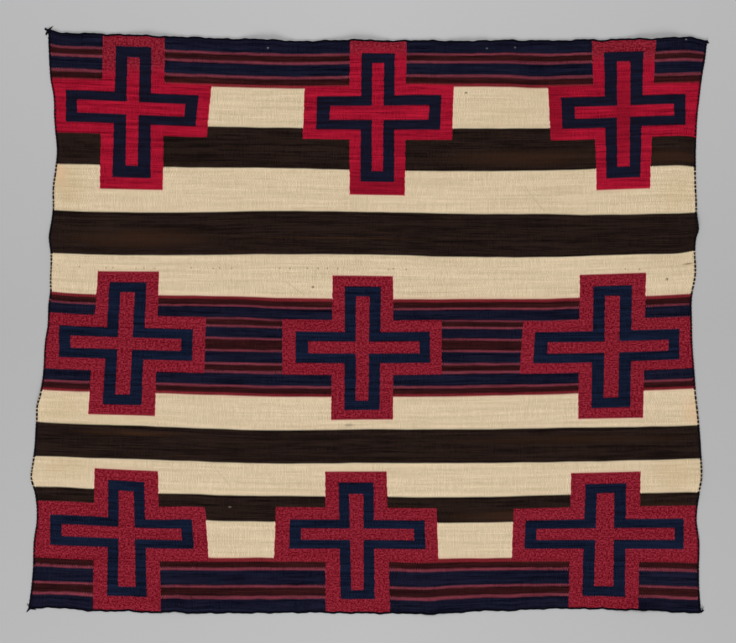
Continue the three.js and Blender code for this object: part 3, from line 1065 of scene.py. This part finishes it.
def spot_rows(net, plan, down):
    """1 in the small spots along the rows, 0 elsewhere. Spots are moved and some are left out."""
    place_in_row = net.times(plan, 1 / SPOT_PITCH)
    cell = net.math("FLOOR", place_in_row)
    chance = net.chance(cell)
    centre = net.scale(chance, SPOT_SHIFT, (1 - SPOT_SHIFT) / 2)
    aside = net.minus(net.minus(place_in_row, cell), centre)
    aside = net.times(aside, SPOT_PITCH)
    kept = net.above(net.chance(net.math("ADD", cell, 0.5)), SPOTS_LEFT_OUT)
    found = 0.0
    for row in SPOT_ROWS:
        lift = net.scale(chance, SPOT_LIFT, row.down - SPOT_LIFT / 2)
        distance = net.vector("LENGTH", net.combine(aside, net.minus(down, lift)))
        spot = net.smooth_step(distance, SPOT_RADIUS, SPOT_RADIUS / 3)
        half = (row.end - row.start) / 2
        inside = net.math("LESS_THAN", from_middle(net, plan, row.start, row.end), half)
        found = net.math("MAXIMUM", found, net.times(spot, inside))
    return net.times(found, kept)


def weave_height(net, plan, down, fuzz):
    """The beads of weft over the warp ribs, from 0 in the furrows to 1 on their crowns."""
    rib = net.times(plan, 1 / RIB_PITCH)
    odd = net.above(net.math("FRACT", net.times(rib, 0.5)), 0.5)
    crown = net.absolute(net.math("SINE", net.times(rib, math.pi)))
    pick = net.scale(down, 1 / (2 * PICK_PITCH), net.times(odd, 0.5))
    bead = net.absolute(net.math("SINE", net.times(pick, math.pi)))
    swell = net.scale(bead, BEAD_SWELL, 1 - BEAD_SWELL)
    beads = net.times(net.math("POWER", crown, CROWN_BREADTH), swell)
    return odd, beads, net.scale(fuzz, FUZZ_HEIGHT, beads)


def red_of_crosses(net, plan, down, fleck, streaky):
    """Mottled red, but smooth crimson in the top row of crosses below their first rows."""
    mottled = net.look(YARNS["mottled_red"], fleck)
    crimson = with_patches(net, net.look(YARNS["crimson"], streaky), "crimson", plan, down, 0.0)
    from_centre = net.scale(net.absolute(plan), MOTTLED_SLOPE, MOTTLED_DEPTH)
    start = net.scale(plan, MOTTLED_TILT, from_centre)
    ragged = net.scale(fleck, -MOTTLED_FADE / 2, net.minus(down, start))
    changed = net.smooth_step(ragged, -MOTTLED_FADE / 2, MOTTLED_FADE / 4)
    top_row = net.math("LESS_THAN", down, CRIMSON_END)
    return net.mix(net.times(changed, top_row), mottled, crimson)


def joint_coordinates(net, plan, down, odd):
    """Plan and down as the crosses' joints see them: stepped from rib to rib, toothed by weft groups."""
    joint_down = net.scale(odd, CROSS_TICK, net.minus(down, CROSS_TICK / 2))
    tooth = net.cell(down, TOOTH_HEIGHT)
    column = net.cell(plan, TOOTH_COLUMN)
    teeth = net.chance(column, tooth)
    joint_plan = net.math("ADD", plan, net.scale(teeth, 2 * TOOTH_DEPTH, -TOOTH_DEPTH))
    return joint_plan, joint_down


def yarn_shades(net, plan, down, face, odd):
    """How light the yarn is, from 0 to 1: streaky for dark yarn, even for ivory, flecked for the
    heathered reds. Also the streaks on their own."""
    rib = net.cell(plan, RIB_PITCH)
    offset_down = net.scale(odd, 0.5, net.times(down, 1 / BEAD_HEIGHT))
    bead = net.math("FLOOR", offset_down)
    speck = net.chance(rib, bead)
    turned = net.above(net.grain(plan, down, *TURNED_SPOT, face), 0.5)
    columns = net.absolute(net.minus(odd, turned))
    streak = net.grain(plan, down, *STREAK_SPOT, face, 2)
    drift = net.grain(plan, down, *DRIFT_SPOT, face, 2)
    ribs = net.grain(plan, down, *RIB_SPOT, face, 1)
    cloud = net.spread(net.grain(plan, down, *CLOUD_SPOT, face, 1), CLOUD_GAIN, CLOUD_MIDDLE)

    def shade(shares):
        total = net.scale(speck, shares.speck, shares.shift)
        for value, share in ((columns, shares.columns), (ribs, shares.ribs), (cloud, shares.cloud)):
            total = net.scale(value, share, total) if share else total
        total = net.scale(streak, shares.streak, total) if shares.streak else total
        return net.scale(drift, shares.drift, total, clamp=True)

    return shade(STREAKY), shade(EVEN), shade(FLECKED), streak


def cloth_material():
    """The weft-faced cloth: stripes, crosses, uneven yarn, age marks, the weave's beads and painted
    shade in their furrows.
    """
    net = Net("wool_cloth")
    plan, down, face = net.separate(net.attribute("charted"))
    fuzz = net.grain(plan, down, *FUZZ_SPOT, face, 2)
    odd, beads, height = weave_height(net, plan, down, fuzz)
    streaky, even, fleck, streak = yarn_shades(net, plan, down, face, odd)

    shades = {name: even for name in ("ivory", "rose", "red")}
    shades.update({name: streaky for name in ("indigo", "brown", "thin_brown", "cross_indigo")})
    colours = {name: net.look(YARNS[name], shade) for name, shade in shades.items()}
    for name, gain in PATCH_GAINS.items():
        colours[name] = with_patches(net, colours[name], name, plan, down, net.spread(streak, gain))
    lazy = net.times(lazy_lines(net, plan, down), LAZY_LINE_AMOUNT)
    colours["ivory"] = net.mix(lazy, colours["ivory"], linear(SPOT_COLOUR))
    colours["ivory"] = net.mix(spot_rows(net, plan, down), colours["ivory"], linear(SPOT_COLOUR))

    joint_plan, joint_down = joint_coordinates(net, plan, down, odd)
    red, indigo, core = cross_rings(net, joint_plan, joint_down)
    bleed = net.times(net.smooth_step(red, -BLEED_WIDTH, 0.0), BLEED_AMOUNT)
    colours["ivory"] = net.mix(bleed, colours["ivory"], linear(BLEED))

    tick = net.scale(odd, STRIPE_TICK, -STRIPE_TICK / 2 - EDGE_WAVE)
    wave = net.scale(net.grain(plan, down, *WANDER_SPOT), 2 * EDGE_WAVE, tick)
    number = stripe_number(net, net.math("ADD", down, wave))
    colour = colours["indigo"]
    for name in ("brown", "thin_brown", "ivory", "rose", "red"):
        chosen = net.above(number, YARN_NUMBER[name] - 0.5)
        colour = net.mix(chosen, colour, colours[name])
    cross_red = red_of_crosses(net, plan, down, fleck, streaky)
    rings = (red, cross_red), (indigo, colours["cross_indigo"]), (core, cross_red)
    for depth, ring_colour in rings:
        colour = net.mix(net.above(depth, 0.0), colour, ring_colour)

    # Painted shade in the furrows between the beads, multiplied into the colour.
    furrow = net.scale(beads, FURROW_PAINTED_SHADE, FURROW_PAINTED_FLOOR)
    with_painted_shade = net.vector("MULTIPLY", colour, furrow)
    roughness = net.scale(fuzz, ROUGHNESS_SPAN, WOOL_ROUGHNESS)
    return net.finish(with_painted_shade, roughness, height, BUMP_DEPTH)


def cord_material():
    """Dark indigo plied yarn, with the slant of its twist and loose fibres."""
    net = Net("edge_cord")
    along, around, seed = net.separate(net.attribute("yarn"))
    fibre = net.grain(along, seed, *FIBRE_SPOT, around, 2)
    twist = net.math("SINE", net.times(along, math.tau / YARN_TWIST))
    height = net.scale(twist, TWIST_HEIGHT, fibre)
    colour = net.look(CORD_LOOK, net.spread(fibre, FIBRE_CONTRAST))
    roughness = net.scale(fibre, ROUGHNESS_SPAN, CORD_ROUGHNESS)
    return net.finish(colour, roughness, height, CORD_BUMP_DEPTH)


def floor_material():
    """A pale floor with painted shade to the left and right and painted light above and below."""
    net = Net("pale_floor_painted_falloff")
    x, y, _ = net.separate(net.node("ShaderNodeTexCoord").outputs["Object"])
    # Painted shade towards the left and right, painted light towards the top and bottom.
    painted_side_shade = net.times(net.absolute(x), FLOOR_PAINTED_SHADE_ASIDE)
    painted_end_light = net.scale(net.absolute(y), FLOOR_PAINTED_LIGHT_AHEAD, FLOOR_MIDDLE)
    painted_end_light = net.scale(y, FLOOR_PAINTED_LIGHT_TILT, painted_end_light)
    shade = net.minus(painted_end_light, painted_side_shade, clamp=True)
    net.join(net.look(FLOOR_LOOK, shade), net.shader.inputs["Base Color"])
    net.shader.inputs["Roughness"].default_value = FLOOR_ROUGHNESS
    net.shader.inputs["Specular IOR Level"].default_value = FLOOR_SPECULAR
    return net.material


def make_floor():
    """A wide floor under the blanket, not part of the object."""
    corners = [(x * FLOOR_HALF, y * FLOOR_HALF, 0) for x, y in ((-1, -1), (1, -1), (1, 1), (-1, 1))]
    mesh = bpy.data.meshes.new("floor")
    mesh.from_pydata(corners, [], [(0, 1, 2, 3)])
    mesh.materials.append(floor_material())
    floor = bpy.data.objects.new("floor", mesh)
    bpy.context.scene.collection.objects.link(floor)
    return floor


def make_light(row):
    """A square soft light that faces the blanket's middle."""
    light = bpy.data.lights.new(row.name, "AREA")
    light.shape = "SQUARE"
    light.size = row.size
    light.energy = row.power
    lamp = bpy.data.objects.new(row.name, light)
    lamp.location = (row.x, row.y, row.z)
    facing = -lamp.location.normalized()
    lamp.rotation_euler = facing.to_track_quat("-Z", "Y").to_euler()
    lamp.visible_camera = False
    bpy.context.scene.collection.objects.link(lamp)


def make_lights():
    """A broad soft light from beyond the bottom edge, one overhead, and an even fill."""
    for light in LIGHTS:
        make_light(light)
    world = bpy.data.worlds.new("studio")
    world.use_nodes = True
    background = world.node_tree.nodes["Background"]
    background.inputs["Color"].default_value = (1, 1, 1, 1)
    background.inputs["Strength"].default_value = FILL
    bpy.context.scene.world = world
    bpy.context.scene.view_settings.view_transform = "Standard"


def make_camera():
    """The photograph's view, from straight above."""
    data = bpy.data.cameras.new("camera")
    data.lens = CAMERA_LENS
    data.sensor_width = CAMERA_SENSOR
    data.sensor_fit = "HORIZONTAL"
    data.clip_end = CAMERA_SEES
    camera = bpy.data.objects.new("camera", data)
    height = IMAGE_WIDTH * CAMERA_LENS / CAMERA_SENSOR
    camera.location = (CAMERA_AIM[0] * MM, CAMERA_AIM[1] * MM, (height + CLOTH_THICK) * MM)
    bpy.context.scene.collection.objects.link(camera)
    bpy.context.scene.camera = camera


def build():
    weave, yarn = cloth_material(), cord_material()
    cloth = make_cloth(weave)
    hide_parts("blanket_cloth")
    trimmings = [
        make_cord("end_cord_top", "cord_top", end_line(CORD_RADIUS), END_CORD, yarn),
        make_cord("end_cord_bottom", "cord_bottom", end_line(HEIGHT - CORD_RADIUS), END_CORD, yarn),
        make_cord("side_cord_left", "cord_left", cord_axis(*selvage_places(-1)), SIDE_CORD, yarn),
        make_cord("side_cord_right", "cord_right", cord_axis(*selvage_places(1)), SIDE_CORD, yarn),
        make_weft_loops(-1, "weft_loops_left", weave),
        make_weft_loops(1, "weft_loops_right", weave),
    ]
    trimmings += [make_tassel(tassel, number, yarn) for number, tassel in enumerate(TASSELS)]
    floor = make_floor()


build()
make_lights()
make_camera()
